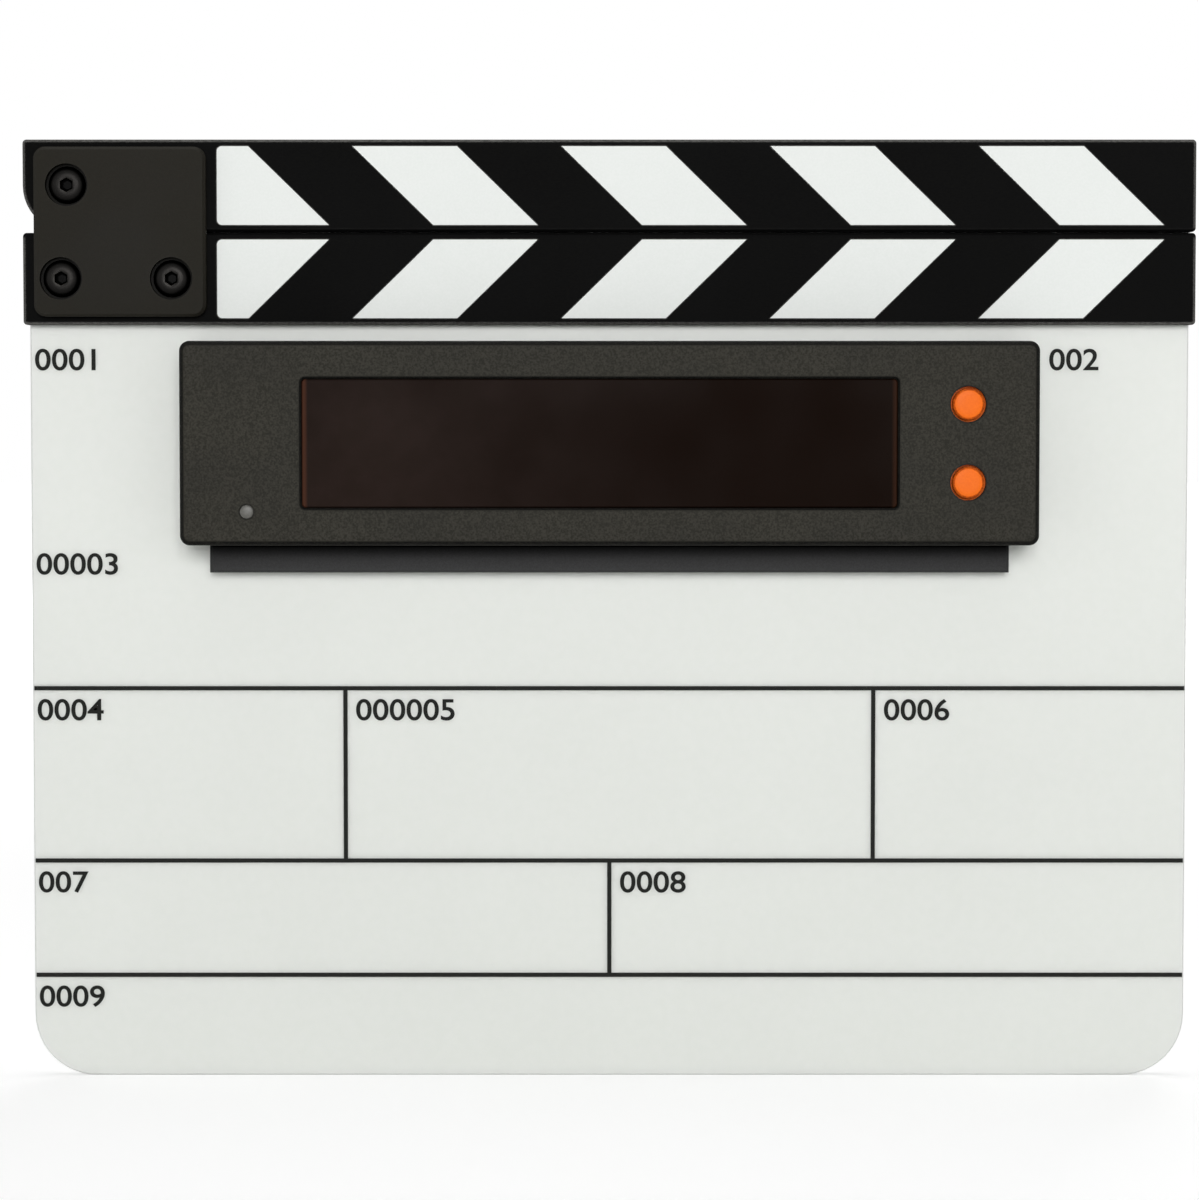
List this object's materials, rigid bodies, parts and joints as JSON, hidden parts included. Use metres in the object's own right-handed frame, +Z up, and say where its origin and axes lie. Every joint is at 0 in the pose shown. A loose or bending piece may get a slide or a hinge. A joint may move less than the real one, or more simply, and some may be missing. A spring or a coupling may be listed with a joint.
{
  "type": "clapperboard",
  "caption": "Film slate: white ruled board held in a striped lower clapstick, hinged upper clapstick, and a battery time display with push buttons on a ledge bracket.",
  "frame": {"origin": "middle of the board's bottom edge, halfway through its thickness", "axes": "+X to the right as the slate is read, along the sticks; -Y towards the reader; +Z up the board"},
  "size_m": [0.299, 0.0361, 0.2408],
  "materials": {
    "white_acrylic": "satin, slightly translucent",
    "line_ink": "matt fill in engraved lines",
    "stick_black": "satin",
    "stripe_white": "satin",
    "plate_black": "black anodised",
    "screw_black": "black oxide",
    "bush_brass": "machined",
    "washer_nylon": "natural nylon",
    "bracket_black": "black anodised",
    "case_grey": "fine moulded texture",
    "window_tint": "polished dark red tint",
    "seal_foam": "foam",
    "digit_face": "matt",
    "circuit_green": "solder mask",
    "button_orange": "satin",
    "switch_black": "matt",
    "lens_clear": "frosted clear",
    "battery_wrap": "laminate pouch",
    "socket_steel": "plated"
  },
  "bodies": {
    "slate": {"slate_board": "white_acrylic", "ruled_lines": "line_ink", "lower_clapstick": "stick_black", "lower_stripe_inlays": "stripe_white", "hinge_plate_front": "plate_black", "hinge_plate_rear": "plate_black", "pivot_screw": "screw_black", "hinge_screws": "screw_black", "pivot_barrel": "screw_black", "hinge_barrels": "screw_black", "stick_screws": "screw_black", "display_bracket": "bracket_black", "bracket_screws": "screw_black", "display_screws": "screw_black", "display_front_shell": "case_grey", "display_rear_cover": "case_grey", "cover_screws": "screw_black", "display_inserts": "bush_brass", "display_window": "window_tint", "window_seal": "seal_foam", "digit_modules": "digit_face", "circuit_board": "circuit_green", "circuit_screws": "socket_steel", "button_switches": "switch_black", "sensor_lens": "lens_clear", "light_sensor": "switch_black", "battery_cell": "battery_wrap", "charging_socket": "socket_steel"},
    "swing_stick": {"upper_clapstick": "stick_black", "upper_stripe_inlays": "stripe_white", "pivot_bush": "bush_brass", "pivot_washers": "washer_nylon"},
    "upper_button_unit": {"upper_button": "button_orange", "upper_plunger": "switch_black"},
    "lower_button_unit": {"lower_button": "button_orange", "lower_plunger": "switch_black"}
  },
  "joints": [
    {"name": "clapstick_hinge", "type": "hinge", "parent": "slate", "child": "swing_stick", "pos_m": [-0.1378, 0, 0.2291], "axis": [0, -1, 0], "range_deg": [0, 90]},
    {"name": "upper_button_press", "type": "slide", "parent": "slate", "child": "upper_button_unit", "axis": [0, 1, 0], "range_m": [0, 0.001], "stiffness_N_per_m": 600},
    {"name": "lower_button_press", "type": "slide", "parent": "slate", "child": "lower_button_unit", "axis": [0, 1, 0], "range_m": [0, 0.001], "stiffness_N_per_m": 600}
  ]
}
